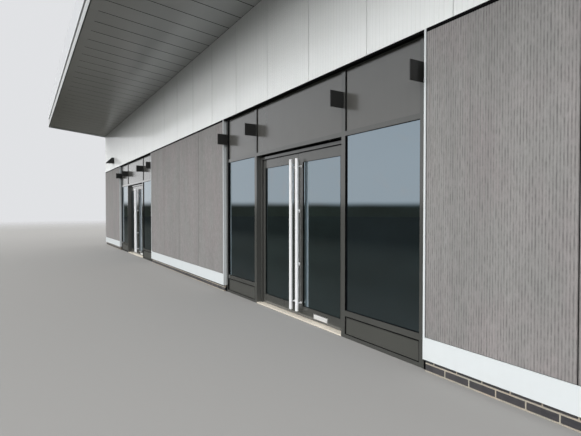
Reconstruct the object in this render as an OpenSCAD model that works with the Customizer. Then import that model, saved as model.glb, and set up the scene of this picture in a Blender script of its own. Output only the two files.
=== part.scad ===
// Single-storey supermarket building with two glazed entrances under a deep front canopy.
// X runs along the front, Y runs into the building, Z is up. Sizes are in millimetres.

/* [Cladding panels] */
// Width of one fluted wall panel
panel_w = 1190; // [900:10:1400]
// Open black joint between two panels and beside a jamb trim
panel_gap = 10; // [6:1:16]
// Depth of the cladding zone in front of the wall
clad_t = 50; // [40:5:80]
// Number of panels between the two entrances
middle_panels = 4; // [3:1:6]
// Number of panels between an entrance and the panel at the corner
corner_panels = 2; // [1:1:4]
// Width of the narrow panel at the corner
corner_panel_w = 470; // [200:10:1200]
// Number of panels along each end
end_panel_count = 10; // [7:1:12]
// Number of panels along the rear
rear_panel_count = 15; // [12:1:18]

/* [Walls and plinth] */
// Thickness of the wall behind the cladding
wall_t = 190; // [150:10:300]
// Thickness of the brick plinth
plinth_t = 215; // [205:1:225]
// Height of the brick plinth
plinth_h = 150; // [140:10:160]
// Mortar joint where two stretches of plinth meet
mortar_gap = 10; // [8:1:12]
// Thickness of the floor above ground level
floor_t = 15; // [10:1:20]
// Underside of the white strip at the foot of the cladding
strip_z = 105; // [80:5:120]
// Height of the white strip
strip_h = 190; // [170:5:240]
// Joint between the strip and the panels above it
strip_gap = 5; // [3:1:8]
// Underside of the white upper band
band_z = 2905; // [2850:5:3000]
// Height of the black flashing under the band
flashing_h = 20; // [15:1:30]
// Setback of the black flashing from the cladding face
flashing_setback = 5; // [3:1:8]

/* [Canopy and roof] */
// Slope of the roof and soffit in degrees
roof_pitch = 6; // [4:0.5:8]
// Height of the soffit at the front wall
soffit_z0 = 4340; // [4200:10:4500]
// Reach of the canopy in front of the cladding
overhang = 2000; // [1500:50:2400]
// Thickness of the soffit boarding
soffit_t = 40; // [30:5:60]
// Height of the white trim along the canopy edge
edge_trim_h = 180; // [150:10:220]
// Depth of the canopy edge
edge_t = 60; // [50:5:80]
// Thickness of the white lip in front of the soffit
edge_lip_t = 8; // [5:1:12]
// Height of the dark channel above the trim
channel_h = 100; // [80:10:120]
// Setback of the dark channel from the canopy edge
channel_setback = 35; // [20:5:45]
// Height of the fascia above the channel
fascia_h = 500; // [450:10:600]
// Thickness of the insulated roof deck
deck_t = 160; // [120:10:200]
// Sealant bed between sloping pieces and what carries them
bed_gap = 0.3; // [0.2:0.1:0.8]
// Reach of the deck past the rear cladding
eaves_reach = 60; // [40:5:80]
// Width of the trim along each verge
verge_w = 110; // [90:5:150]
// Height of the trim along each verge
verge_h = 30; // [20:2:40]
// Number of steel outriggers in the canopy
outrigger_count = 7; // [5:1:9]
// Flange width of an outrigger
outrigger_w = 120; // [100:10:150]
// Plate thickness of an outrigger
outrigger_t = 12; // [10:1:16]

/* [Rear drainage] */
// Width of the rear gutter
gutter_w = 130; // [110:5:150]
// Height of the rear gutter
gutter_h = 100; // [80:5:120]
// Wall of the rear gutter
gutter_t = 4; // [3:1:6]
// Gap between the deck and the gutter
gutter_drop = 8; // [5:1:15]
// Radius of a downpipe
pipe_r = 40; // [34:1:50]
// Distance of a downpipe from the corner
pipe_inset = 900; // [600:50:1500]
// Height of the clips that hold a downpipe
clip_h = 40; // [30:5:60]

/* [Shopfronts] */
// Clear width of a shopfront between its jamb trims
shop_w = 4330; // [4200:10:4600]
// Face width of a jamb trim
trim_w = 20; // [15:1:40]
// Thickness of the lining behind a jamb trim
lining_t = 10; // [6:1:12]
// Setback of the shopfront frame from the cladding face
shop_setback = 55; // [50:5:80]
// Distance of the door bay from the centre line of its shopfront
door_bay_shift = -35; // [-60:5:60]
// Distance of a mullion from the centre line of the door bay
mullion_x = 1040; // [1000:5:1100]
// Face width of a mullion
mullion_w = 65; // [60:1:75]
// Face width of the post at each side
edge_post_w = 90; // [60:1:100]
// Depth of the posts
post_d = 165; // [150:5:175]
// Depth of the rails
rail_d = 100; // [90:5:120]
// Height of the bottom rail
bottom_rail_h = 38; // [30:1:60]
// Underside of the sill rail
sill_rail_z = 235; // [200:5:300]
// Height of the sill rail
sill_rail_h = 60; // [40:1:70]
// Clear height from the top of the pull handles to the rail over the doors and windows
transom_clearance = 140; // [100:5:200]
// Height of the rail over the doors and windows
transom_h = 50; // [25:1:75]
// Height of the rail at the head
head_rail_h = 15; // [12:1:40]
// Setback of the upper opaque panels from the frame face
spandrel_setback = 14; // [8:1:30]
// Setback of the low opaque panels from the frame face
low_setback = 12; // [8:1:25]
// Thickness of the opaque panels
infill_t = 40; // [30:1:50]
// Setback of the window glass from the frame face
glass_setback = 18; // [12:1:40]
// Thickness of the sealed glass units
glass_t = 28; // [24:1:32]
// Side of the square bracket plates
plate_size = 175; // [150:5:200]
// Thickness of the bracket plates
plate_t = 10; // [6:1:12]
// Underside of the bracket plates
plate_z = 2475; // [2440:5:2540]

/* [Entrance doors] */
// Setback of the door frame from the mullion face
door_frame_setback = 70; // [60:1:75]
// Depth of the door frame
door_frame_d = 80; // [78:1:85]
// Face width of a door jamb
jamb_w = 40; // [35:1:60]
// Height of the door head
door_head_h = 42; // [36:1:60]
// Dark gap between the door head and the rail above it
head_gap = 20; // [15:1:25]
// Setback of the strip that closes this gap
head_gap_setback = 25; // [20:1:40]
// Overlap of the stop behind a leaf
stop_w = 12; // [8:1:15]
// Thickness of the stop
stop_t = 14; // [10:1:16]
// Setback of a leaf from the door frame face
leaf_setback = 15; // [10:1:18]
// Thickness of a leaf
leaf_t = 45; // [40:1:48]
// Running gap round a leaf
leaf_gap = 6; // [5:1:8]
// Width of the hinge stile
hinge_stile_w = 75; // [70:1:100]
// Width of the meeting stile
meeting_stile_w = 108; // [80:1:115]
// Height of the top rail of a leaf
leaf_top_h = 117; // [100:1:130]
// Height of the bottom rail of a leaf
leaf_bottom_h = 130; // [110:1:160]
// Setback of the glass from the face of a leaf
leaf_glass_setback = 10; // [8:1:17]
// Thickness of the glass in a leaf
leaf_glass_t = 24; // [20:1:24]
// Radius of a pivot pin
pin_r = 9; // [7:1:12]
// Height of a pivot pin
pin_h = 30; // [25:1:40]
// Radial clearance round a pivot pin
pin_clearance = 0.3; // [0.2:0.05:0.5]
// Depth left beyond the end of a pivot pin
pin_end_gap = 2; // [1:0.5:4]

/* [Pull handles] */
// Radius of the tubular handle
handle_r = 22; // [16:1:24]
// Foot of the handle above the ground
handle_z = 90; // [80:5:200]
// Length of the handle
handle_h = 1945; // [1500:5:1980]
// Distance of the handle axis from the face of the leaf
handle_reach = 65; // [60:1:80]
// Distance of the handle axis from the edge of the leaf
handle_inset = 70; // [45:1:75]
// Distance of the fixings from the ends of the handle
fixing_inset = 100; // [80:5:250]
// Radius of a fixing
fixing_r = 9; // [7:1:12]

/* [Letter plates] */
// Width of a letter plate
letter_w = 295; // [200:5:350]
// Height of a letter plate
letter_h = 64; // [40:1:80]
// Thickness of a letter plate
letter_t = 4; // [2:0.5:8]
// Underside of a letter plate
letter_z = 40; // [30:1:60]
// Distance of a letter plate from the free edge of the leaf
letter_inset = 352; // [150:1:420]

/* [Wall lights] */
// Distance of a wall light from the corner of the building
light_inset = 1830; // [1200:10:2200]
// Width of a wall light
light_w = 260; // [200:10:300]
// Height of a wall light
light_h = 200; // [160:10:240]
// Projection of a wall light
light_d = 240; // [200:10:280]
// Flat top next to the wall
light_top_d = 70; // [40:5:100]
// Height of the nose
light_nose_h = 40; // [25:5:60]
// Underside of a wall light
light_z = 3100; // [3000:10:3300]

/* [Hidden] */

// Overall plan, worked out from the panels and the shopfronts
middle_w = middle_panels * panel_w + (middle_panels - 1) * panel_gap;
middle_reach = middle_w / 2 + panel_gap;
corner_w = corner_panels * (panel_w + panel_gap) + corner_panel_w;
shop_x = middle_reach + trim_w + shop_w / 2;
half_length = shop_x + shop_w / 2 + trim_w + panel_gap + corner_w + clad_t;
depth = end_panel_count * panel_w + (end_panel_count - 1) * panel_gap + 2 * clad_t;
wall_in = clad_t + wall_t;
plinth_out = wall_in - plinth_t;
opening_half = shop_w / 2 + lining_t;
rear_reach = depth + gutter_w;
plan_mid_y = (rear_reach - overhang) / 2;
both_sides = [-1, 1];

// Levels
strip_top = strip_z + strip_h;
panel_z = strip_top + strip_gap;
panel_top = band_z - flashing_h;
slope = tan(roof_pitch);
edge_h = edge_trim_h + channel_h + fascia_h;
deck_top_z0 = soffit_z0 + edge_h;
function soffit_under(y) = soffit_z0 - y * slope;
function soffit_top(y) = soffit_under(y) + soffit_t;
function deck_top(y) = deck_top_z0 - y * slope;
function deck_under(y) = deck_top(y) - deck_t;
function wall_top(y) = deck_under(y) - bed_gap;

// Shopfront layout, measured from its own centre line
mullion_in = mullion_x - mullion_w / 2;
mullion_out = mullion_x + mullion_w / 2;
edge_post_in = shop_w / 2 - edge_post_w;
post_back = shop_setback + post_d;
transom_z = handle_z + handle_h + transom_clearance;
spandrel_z = transom_z + transom_h;
spandrel_top = panel_top - head_rail_h;
window_z = sill_rail_z + sill_rail_h;
function bay_start(side) = side < 0 ? -edge_post_in : door_bay_shift + mullion_out;
function bay_end(side) = side < 0 ? door_bay_shift - mullion_out : edge_post_in;

// Door layout
frame_y = shop_setback + door_frame_setback;
frame_back = frame_y + door_frame_d;
frame_top = transom_z - head_gap;
head_z = frame_top - door_head_h;
clear_half = mullion_in - jamb_w;
leaf_y = frame_y + leaf_setback;
leaf_z = floor_t + leaf_gap;
leaf_top = head_z - leaf_gap;
leaf_w = clear_half - 1.5 * leaf_gap;
heel_r = leaf_t / 2;
pivot_x = clear_half - leaf_gap - heel_r;
pivot_y = leaf_y + heel_r;
glass_low = leaf_z + leaf_bottom_h;
glass_high = leaf_top - leaf_top_h;
stile_in = leaf_w - meeting_stile_w - hinge_stile_w;

// Everything is drawn from the front cladding face and then centred on its box
module in_plan() translate([0, -plan_mid_y, 0]) children();

// Box between two corners
module block(low, high) translate(low) cube(high - low);

// Profile drawn as (y, z) and run along X
module run_x(x0, x1) translate([x0, 0, 0]) rotate([90, 0, 90]) linear_extrude(height = x1 - x0) children();

// Profile drawn as (x, z) and run along Y
module run_y(y0, y1) translate([0, y1, 0]) rotate([90, 0, 0]) linear_extrude(height = y1 - y0) children();

// A piece on the right and its mirror image on the left
module both_ends() for (side = both_sides) mirror([side < 0 ? 1 : 0, 0, 0]) children();

// Copies at the two shopfronts
module both_shops() for (side = both_sides) translate([side * shop_x, 0, 0]) children();

// Door bay of both shopfronts
module both_door_bays() both_shops() translate([door_bay_shift, 0, 0]) children();

// Row of separate panels along X from x0
module panel_row(x0, count, width, low_y, high_y)
    for (i = [0:count - 1])
        let (x = x0 + i * (width + panel_gap))
            block([x, low_y, panel_z], [x + width, high_y, panel_top]);

module floor_slab() color("lightgrey") in_plan() {
    inner_x = half_length - wall_in;
    block([-inner_x, wall_in, 0], [inner_x, depth - wall_in, floor_t]);
    both_shops() {
        block([-opening_half, post_back, 0], [opening_half, wall_in, floor_t]);
        for (side = both_sides)
            block([bay_start(side), shop_setback + rail_d, 0], [bay_end(side), post_back, floor_t]);
    }
}

module brick_plinth() color("dimgrey") in_plan() {
    out_x = half_length - plinth_out;
    in_x = half_length - wall_in;
    pier_x = shop_x + opening_half;
    inner_edge = shop_x - opening_half;
    both_ends() {
        block([pier_x, plinth_out, 0], [out_x, wall_in, plinth_h]);
        block([in_x, wall_in + mortar_gap, 0], [out_x, depth - wall_in - mortar_gap, plinth_h]);
    }
    block([-inner_edge, plinth_out, 0], [inner_edge, wall_in, plinth_h]);
    block([-out_x, depth - wall_in, 0], [out_x, depth - plinth_out, plinth_h]);
}

module front_wall_piers() color("gainsboro") in_plan() {
    out_x = half_length - clad_t;
    inner_edge = shop_x - opening_half;
    both_ends() block([shop_x + opening_half, clad_t, plinth_h], [out_x, wall_in, band_z]);
    block([-inner_edge, clad_t, plinth_h], [inner_edge, wall_in, band_z]);
}

module front_wall_head() color("gainsboro") in_plan()
    run_x(-half_length + clad_t, half_length - clad_t)
        polygon([[clad_t, band_z], [wall_in, band_z],
            [wall_in, wall_top(wall_in)], [clad_t, wall_top(clad_t)]]);

module end_walls() color("gainsboro") in_plan() {
    rear_in = depth - wall_in;
    both_ends() run_x(half_length - wall_in, half_length - clad_t)
        polygon([[wall_in, plinth_h], [rear_in, plinth_h],
            [rear_in, wall_top(rear_in)], [wall_in, wall_top(wall_in)]]);
}

module rear_wall() color("gainsboro") in_plan() {
    rear_in = depth - wall_in;
    rear_out = depth - clad_t;
    run_x(-half_length + clad_t, half_length - clad_t)
        polygon([[rear_in, plinth_h], [rear_out, plinth_h],
            [rear_out, wall_top(rear_out)], [rear_in, wall_top(rear_in)]]);
}

module front_panels() color([0.57, 0.55, 0.54]) in_plan() {
    corner_x = half_length - clad_t;
    both_ends() {
        panel_row(corner_x - corner_w, corner_panels, panel_w, 0, clad_t);
        block([corner_x - corner_panel_w, 0, panel_z], [corner_x, clad_t, panel_top]);
    }
    panel_row(-middle_w / 2, middle_panels, panel_w, 0, clad_t);
}

// The first and the last panel of each end turn the corner
module end_panels() color([0.57, 0.55, 0.54]) in_plan()
    both_ends() for (i = [0:end_panel_count - 1])
        let (y = clad_t + i * (panel_w + panel_gap), last = end_panel_count - 1)
            block([half_length - clad_t, i == 0 ? 0 : y, panel_z],
                [half_length, i == last ? depth : y + panel_w, panel_top]);

module rear_panels() color([0.57, 0.55, 0.54]) in_plan() {
    run = 2 * (half_length - clad_t);
    width = (run - (rear_panel_count - 1) * panel_gap) / rear_panel_count;
    panel_row(-run / 2, rear_panel_count, width, depth - clad_t, depth);
}

// Folded strip at the foot of the cladding, lapping the plinth and the wall
module strip_profile() polygon([[0, strip_z], [plinth_out, strip_z], [plinth_out, plinth_h],
    [clad_t, plinth_h], [clad_t, strip_top], [0, strip_top]]);

module base_strip() color("white") in_plan() {
    pier_x = shop_x + shop_w / 2 + trim_w;
    both_ends() {
        run_x(pier_x, half_length) strip_profile();
        run_y(0, depth) translate([half_length, 0]) mirror([1, 0]) strip_profile();
    }
    run_x(-middle_reach, middle_reach) strip_profile();
    translate([0, depth, 0]) mirror([0, 1, 0]) run_x(-half_length, half_length) strip_profile();
}

// White trim on the face of the cladding with a lining that reaches the back of the posts
module jamb_trims() color("white") in_plan() both_shops() both_ends() translate([shop_w / 2, 0, 0]) {
    translate([0, 0, strip_z]) linear_extrude(height = band_z - strip_z)
        polygon([[0, 0], [trim_w, 0], [trim_w, plinth_out], [lining_t, plinth_out],
            [lining_t, post_back], [0, post_back]]);
    block([lining_t, plinth_out, plinth_h], [trim_w, clad_t, band_z]);
}

module head_flashings() color([0.08, 0.08, 0.08]) in_plan() {
    out = half_length - flashing_setback;
    pier_x = shop_x + shop_w / 2 + trim_w;
    both_ends() {
        block([pier_x, flashing_setback, panel_top], [out, clad_t, band_z]);
        block([half_length - clad_t, flashing_setback, panel_top], [out, depth - flashing_setback, band_z]);
    }
    block([-middle_reach, flashing_setback, panel_top], [middle_reach, clad_t, band_z]);
    block([-out, depth - clad_t, panel_top], [out, depth - flashing_setback, band_z]);
    both_shops() block([-shop_w / 2, flashing_setback, panel_top], [shop_w / 2, wall_in, band_z]);
}

module front_band() color([0.86, 0.87, 0.87]) in_plan() run_x(-half_length, half_length)
    polygon([[0, band_z], [clad_t, band_z],
        [clad_t, soffit_under(clad_t) - bed_gap], [0, soffit_under(0) - bed_gap]]);

module end_bands() color([0.86, 0.87, 0.87]) in_plan() {
    rear = depth - clad_t;
    both_ends() run_x(half_length - clad_t, half_length)
        polygon([[clad_t, band_z], [rear, band_z], [rear, deck_top(rear)], [clad_t, deck_top(clad_t)]]);
}

module rear_band() color([0.86, 0.87, 0.87]) in_plan() {
    rear = depth - clad_t;
    run_x(-half_length, half_length)
        polygon([[rear, band_z], [depth, band_z], [depth, wall_top(depth)], [rear, wall_top(rear)]]);
}

// Depths and levels along the canopy edge
edge_back = edge_t - overhang;
lip_back = edge_lip_t - overhang;
trim_foot = soffit_under(lip_back);
trim_top = trim_foot + edge_trim_h;
fascia_foot = trim_top + channel_h;
fascia_top = deck_top(edge_back) + verge_h;

module canopy_soffit() color([0.35, 0.36, 0.35]) in_plan() run_x(-half_length, half_length)
    polygon([[lip_back, soffit_under(lip_back)], [clad_t, soffit_under(clad_t)],
        [clad_t, soffit_top(clad_t)], [lip_back, soffit_top(lip_back)]]);

// Folded trim with a thin lip that hides the edge of the soffit
module canopy_edge_trim() color("white") in_plan() run_x(-half_length, half_length)
    polygon([[-overhang, trim_foot], [lip_back, trim_foot], [lip_back, soffit_top(lip_back) + bed_gap],
        [edge_back, soffit_top(edge_back) + bed_gap], [edge_back, trim_top], [-overhang, trim_top]]);

module canopy_channel() color([0.2, 0.2, 0.2]) in_plan()
    block([-half_length, channel_setback - overhang, trim_top], [half_length, edge_back, fascia_foot]);

module canopy_fascia() color([0.88, 0.89, 0.9]) in_plan()
    block([-half_length, -overhang, fascia_foot], [half_length, edge_back, fascia_top]);

module canopy_cheeks() color([0.86, 0.87, 0.87]) in_plan() {
    y0 = edge_back;
    both_ends() run_x(half_length - clad_t, half_length)
        polygon([[y0, soffit_top(y0) + bed_gap], [clad_t, soffit_top(clad_t) + bed_gap],
            [clad_t, deck_top(clad_t)], [y0, deck_top(y0)]]);
}

// Sloping plate between two heights above the soffit
module sloping_plate(y0, y1, low, high, width)
    run_x(-width / 2, width / 2)
        polygon([[y0, soffit_top(y0) + low], [y1, soffit_top(y1) + low],
            [y1, soffit_top(y1) + high], [y0, soffit_top(y0) + high]]);

module canopy_outriggers() color([0.5, 0.5, 0.5]) in_plan() {
    y0 = edge_back;
    beam_h = deck_under(0) - soffit_top(0);
    run = half_length - clad_t - outrigger_w;
    for (i = [0:outrigger_count - 1]) translate([-run + i * 2 * run / (outrigger_count - 1), 0, 0]) {
        sloping_plate(y0, clad_t, bed_gap, outrigger_t, outrigger_w);
        sloping_plate(y0, clad_t, beam_h - outrigger_t, beam_h - bed_gap, outrigger_w);
        sloping_plate(y0, clad_t, bed_gap, beam_h - bed_gap, outrigger_t);
    }
}

module roof_deck() color([0.6, 0.62, 0.63]) in_plan() {
    y0 = edge_back;
    y1 = depth + eaves_reach;
    out = half_length - clad_t;
    run_x(-out, out)
        polygon([[y0, deck_under(y0)], [y1, deck_under(y1)], [y1, deck_top(y1)], [y0, deck_top(y0)]]);
}

module verge_trims() color("white") in_plan() {
    y0 = edge_back;
    y1 = depth + eaves_reach;
    y2 = depth - clad_t;
    both_ends() {
        run_x(half_length - verge_w, half_length)
            polygon([[y0, deck_top(y0) + bed_gap], [y1, deck_top(y1) + bed_gap],
                [y1, deck_top(y1) + verge_h], [y0, deck_top(y0) + verge_h]]);
        run_x(half_length - clad_t, half_length)
            polygon([[y2, deck_under(y2)], [y1, deck_under(y1)], [y1, deck_top(y1)], [y2, deck_top(y2)]]);
    }
}

gutter_top = deck_under(depth + eaves_reach) - gutter_drop;

module rear_gutter() color("white") in_plan() difference() {
    low = gutter_top - gutter_h;
    inner_x = half_length - gutter_t;
    block([-half_length, depth, low], [half_length, depth + gutter_w, gutter_top]);
    block([-inner_x, depth + gutter_t, low + gutter_t],
        [inner_x, depth + gutter_w - gutter_t, gutter_top + 1]);
}

module downpipes() color("white") in_plan() both_ends() {
    pipe_x = half_length - pipe_inset;
    pipe_y = depth + gutter_w / 2;
    pipe_top = gutter_top - gutter_h;
    translate([pipe_x, pipe_y, 0]) cylinder(r = pipe_r, h = pipe_top, $fn = 48);
    for (z = [strip_top + clip_h, pipe_top / 2, pipe_top - 3 * clip_h])
        block([pipe_x - pipe_r / 2, depth, z], [pipe_x + pipe_r / 2, pipe_y, z + clip_h]);
}

// Wedge-shaped light with a flat underside
module wall_lights() color([0.07, 0.07, 0.07]) in_plan() both_ends() {
    light_x = half_length - light_inset;
    run_x(light_x - light_w / 2, light_x + light_w / 2)
        polygon([[0, light_z], [0, light_z + light_h], [-light_top_d, light_z + light_h],
            [-light_d, light_z + light_nose_h], [-light_d, light_z]]);
}

// The edge posts close the joint beside the brick plinth, below the white trim
module shopfront_posts() color([0.32, 0.33, 0.32]) in_plan() {
    both_door_bays() both_ends()
        block([mullion_in, shop_setback, 0], [mullion_out, post_back, panel_top]);
    both_shops() both_ends() {
        block([edge_post_in, shop_setback, 0], [shop_w / 2, post_back, panel_top]);
        block([edge_post_in, shop_setback, 0], [opening_half, post_back, strip_z]);
    }
}

// Flat piece that fills the width of each side bay
module in_side_bays(y0, y1, z0, z1) both_shops() for (side = both_sides)
    block([bay_start(side), y0, z0], [bay_end(side), y1, z1]);

// Flat piece that fills the width of each door bay
module in_door_bays(y0, y1, z0, z1) both_door_bays() block([-mullion_in, y0, z0], [mullion_in, y1, z1]);

module shopfront_rails() color([0.32, 0.33, 0.32]) in_plan() {
    y0 = shop_setback;
    y1 = shop_setback + rail_d;
    in_side_bays(y0, y1, 0, bottom_rail_h);
    in_side_bays(y0, y1, sill_rail_z, window_z);
    in_side_bays(y0, y1, transom_z, spandrel_z);
    in_side_bays(y0, y1, spandrel_top, panel_top);
    in_door_bays(y0, y1, transom_z, spandrel_z);
    in_door_bays(y0, y1, spandrel_top, panel_top);
}

module spandrel_panels() color([0.46, 0.46, 0.45]) in_plan() {
    y0 = shop_setback + spandrel_setback;
    in_side_bays(y0, y0 + infill_t, spandrel_z, spandrel_top);
    in_door_bays(y0, y0 + infill_t, spandrel_z, spandrel_top);
}

module low_panels() color([0.34, 0.35, 0.34]) in_plan() {
    y0 = shop_setback + low_setback;
    in_side_bays(y0, y0 + infill_t, bottom_rail_h, sill_rail_z);
}

module window_glass() color([0.45, 0.55, 0.6, 0.5]) in_plan() {
    y0 = shop_setback + glass_setback;
    in_side_bays(y0, y0 + glass_t, window_z, transom_z);
}

// Upright plate that stands out from the face of a post
module bracket_plate(x) block([x - plate_t / 2, shop_setback - plate_size, plate_z],
    [x + plate_t / 2, shop_setback, plate_z + plate_size]);

module bracket_plates() color([0.12, 0.12, 0.12]) in_plan() {
    both_door_bays() both_ends() bracket_plate(mullion_x);
    both_shops() both_ends() bracket_plate((edge_post_in + shop_w / 2) / 2);
}

module door_frames() color([0.3, 0.31, 0.3]) in_plan() both_door_bays() {
    stop_y = frame_back - stop_t;
    both_ends() {
        block([clear_half, frame_y, floor_t], [mullion_in, frame_back, frame_top]);
        block([clear_half - stop_w, stop_y, floor_t], [clear_half, frame_back, frame_top]);
        translate([pivot_x, pivot_y, head_z - pin_h])
            cylinder(r = pin_r, h = pin_h + door_head_h / 2, $fn = 32);
    }
    block([-mullion_in, frame_y, head_z], [mullion_in, frame_back, frame_top]);
    block([-clear_half, stop_y, head_z - stop_w], [clear_half, frame_back, head_z]);
    block([-mullion_in, frame_y + head_gap_setback, frame_top], [mullion_in, frame_back, transom_z]);
}

module thresholds() color([0.82, 0.78, 0.7]) in_plan() both_door_bays() {
    block([-mullion_in, shop_setback, 0], [mullion_in, post_back, floor_t]);
    both_ends() translate([pivot_x, pivot_y, floor_t / 2])
        cylinder(r = pin_r, h = floor_t / 2 + pin_h, $fn = 32);
}

// One leaf, drawn with its pivot on the Z axis and its free edge towards +X
module leaf_frame() {
    free_x = leaf_w - heel_r;
    bore_r = pin_r + pin_clearance;
    bore_h = pin_h - leaf_gap + pin_end_gap;
    difference() {
        union() {
            translate([0, 0, leaf_z]) cylinder(r = heel_r, h = leaf_top - leaf_z, $fn = 64);
            block([0, -heel_r, leaf_z], [free_x, heel_r, leaf_top]);
        }
        block([hinge_stile_w - heel_r, -leaf_t, glass_low],
            [free_x - meeting_stile_w, leaf_t, glass_high]);
        translate([0, 0, leaf_z - 1]) cylinder(r = bore_r, h = bore_h + 1, $fn = 32);
        translate([0, 0, leaf_top - bore_h]) cylinder(r = bore_r, h = bore_h + 1, $fn = 32);
    }
}

module leaf_glass() {
    y0 = leaf_glass_setback - heel_r;
    x0 = hinge_stile_w - heel_r;
    block([x0, y0, glass_low], [x0 + stile_in, y0 + leaf_glass_t, glass_high]);
}

module leaf_handle() {
    handle_x = leaf_w - heel_r - handle_inset;
    handle_y = -heel_r - handle_reach;
    translate([handle_x, handle_y, handle_z]) cylinder(r = handle_r, h = handle_h, $fn = 48);
    for (z = [handle_z + fixing_inset, handle_z + handle_h - fixing_inset])
        translate([handle_x, -heel_r, z]) rotate([90, 0, 0])
            cylinder(r = fixing_r, h = handle_reach, $fn = 32);
}

module leaf_letter_plate() {
    x1 = leaf_w - heel_r - letter_inset;
    block([x1 - letter_w, -heel_r - letter_t, letter_z], [x1, -heel_r, letter_z + letter_h]);
}

// Places a leaf piece: shop is -1 for the left shopfront, side is -1 for the left leaf
module hang_leaf(shop, side) in_plan()
    translate([shop * shop_x + door_bay_shift + side * pivot_x, pivot_y, 0])
        mirror([side > 0 ? 1 : 0, 0, 0]) children();

module door_leaf(shop, side) color([0.3, 0.31, 0.3]) hang_leaf(shop, side) leaf_frame();
module door_glass(shop, side) color([0.45, 0.55, 0.6, 0.5]) hang_leaf(shop, side) leaf_glass();
module pull_handle(shop, side) color([0.9, 0.9, 0.88]) hang_leaf(shop, side) leaf_handle();
module letter_plate(shop, side) color([0.9, 0.9, 0.88]) hang_leaf(shop, side) leaf_letter_plate();

floor_slab();
brick_plinth();
front_wall_piers();
front_wall_head();
end_walls();
rear_wall();
front_panels();
end_panels();
rear_panels();
base_strip();
jamb_trims();
head_flashings();
front_band();
end_bands();
rear_band();
canopy_soffit();
canopy_edge_trim();
canopy_channel();
canopy_fascia();
canopy_cheeks();
canopy_outriggers();
roof_deck();
verge_trims();
rear_gutter();
downpipes();
wall_lights();
shopfront_posts();
shopfront_rails();
spandrel_panels();
low_panels();
window_glass();
bracket_plates();
door_frames();
thresholds();
door_leaf(-1, -1);  // left_shop_left_leaf
door_glass(-1, -1);  // left_shop_left_glass
pull_handle(-1, -1);  // left_shop_left_handle
door_leaf(-1, 1);  // left_shop_right_leaf
door_glass(-1, 1);  // left_shop_right_glass
pull_handle(-1, 1);  // left_shop_right_handle
letter_plate(-1, 1);  // left_shop_letter_plate
door_leaf(1, -1);  // right_shop_left_leaf
door_glass(1, -1);  // right_shop_left_glass
pull_handle(1, -1);  // right_shop_left_handle
door_leaf(1, 1);  // right_shop_right_leaf
door_glass(1, 1);  // right_shop_right_glass
pull_handle(1, 1);  // right_shop_right_handle
letter_plate(1, 1);  // right_shop_letter_plate
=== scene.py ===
import math
import random

import bmesh
import bpy
from mathutils import Matrix, Vector


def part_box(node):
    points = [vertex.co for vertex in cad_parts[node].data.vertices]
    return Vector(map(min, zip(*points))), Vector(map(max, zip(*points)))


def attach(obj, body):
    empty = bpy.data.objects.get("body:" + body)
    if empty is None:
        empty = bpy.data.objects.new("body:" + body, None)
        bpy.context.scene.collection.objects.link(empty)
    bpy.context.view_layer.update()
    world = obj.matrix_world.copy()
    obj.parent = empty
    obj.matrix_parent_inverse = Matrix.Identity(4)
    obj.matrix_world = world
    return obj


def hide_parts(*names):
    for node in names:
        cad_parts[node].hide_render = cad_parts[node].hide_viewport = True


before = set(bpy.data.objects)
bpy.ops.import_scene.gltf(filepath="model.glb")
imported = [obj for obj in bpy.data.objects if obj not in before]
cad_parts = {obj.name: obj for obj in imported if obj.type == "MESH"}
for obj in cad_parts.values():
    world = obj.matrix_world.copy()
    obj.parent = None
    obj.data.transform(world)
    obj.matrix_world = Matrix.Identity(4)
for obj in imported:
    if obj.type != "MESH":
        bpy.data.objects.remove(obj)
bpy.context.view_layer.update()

# Sizes that repeat those of the part, in metres. Depths are measured from the front cladding face.
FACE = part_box("front_panels")[0].y
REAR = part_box("rear_panels")[1].y - FACE
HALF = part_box("end_panels")[1].x
CLAD = 0.05
PANEL_W = 1.19
PANEL_GAP = 0.01
CORNER_PANEL_W = 0.47
PANEL_LOW, PANEL_TOP = 0.3, 2.885
STRIP_TOP = 0.295
STRIP_LOW = 0.105
BAND_LOW = 2.905
MIDDLE_HALF = 2.395
SHOP_X = 4.59
SHOP_HALF = 2.165
TRIM_W = 0.02
OPENING_HALF = 2.175
SLOPE = math.tan(math.radians(6))
SOFFIT_Z = 4.34
OVERHANG = 2.0
EDGE_T = 0.06
EDGE_LIP = 0.008
DECK_Z = SOFFIT_Z + 0.78
DECK_T = 0.16
BED = 0.0003
EAVES = 0.06
DOOR_SHIFT = -0.035
MULLION_IN, MULLION_OUT = 1.0075, 1.0725
POST_IN = 2.075
FRAME_Y = 0.055
SPANDREL_Y, LOW_PANEL_Y, GLASS_Y = 0.069, 0.067, 0.073
SPANDREL_LOW, SPANDREL_TOP = 2.225, 2.87
WINDOW_LOW, WINDOW_TOP = 0.295, 2.175
LOW_PANEL_LOW, LOW_PANEL_TOP = 0.038, 0.235
DOOR_FRAME_Y = 0.125
DOOR_HEAD_LOW, DOOR_HEAD_TOP = 2.113, 2.155
LEAF_Y = 0.14
LEAF_W = 0.9585
LEAF_GLASS_LOW, LEAF_GLASS_TOP = 0.151, 1.99
HINGE_STILE, MEETING_STILE = 0.075, 0.108
CLEAR_HALF = 0.9675
LEAF_GAP = 0.006
BOARD_PITCH = 0.4475
BRICK_L, BRICK_W = 0.215, 0.1025
JOINT = 0.01
REEDS_APART = 64
DUST = (0.42, 0.38, 0.31)


def soffit_under(y):
    """Height of the underside of the soffit at a depth."""
    return SOFFIT_Z - y * SLOPE


def deck_top(y):
    """Height of the top of the roof deck at a depth."""
    return DECK_Z - y * SLOPE


# Finishes


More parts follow.
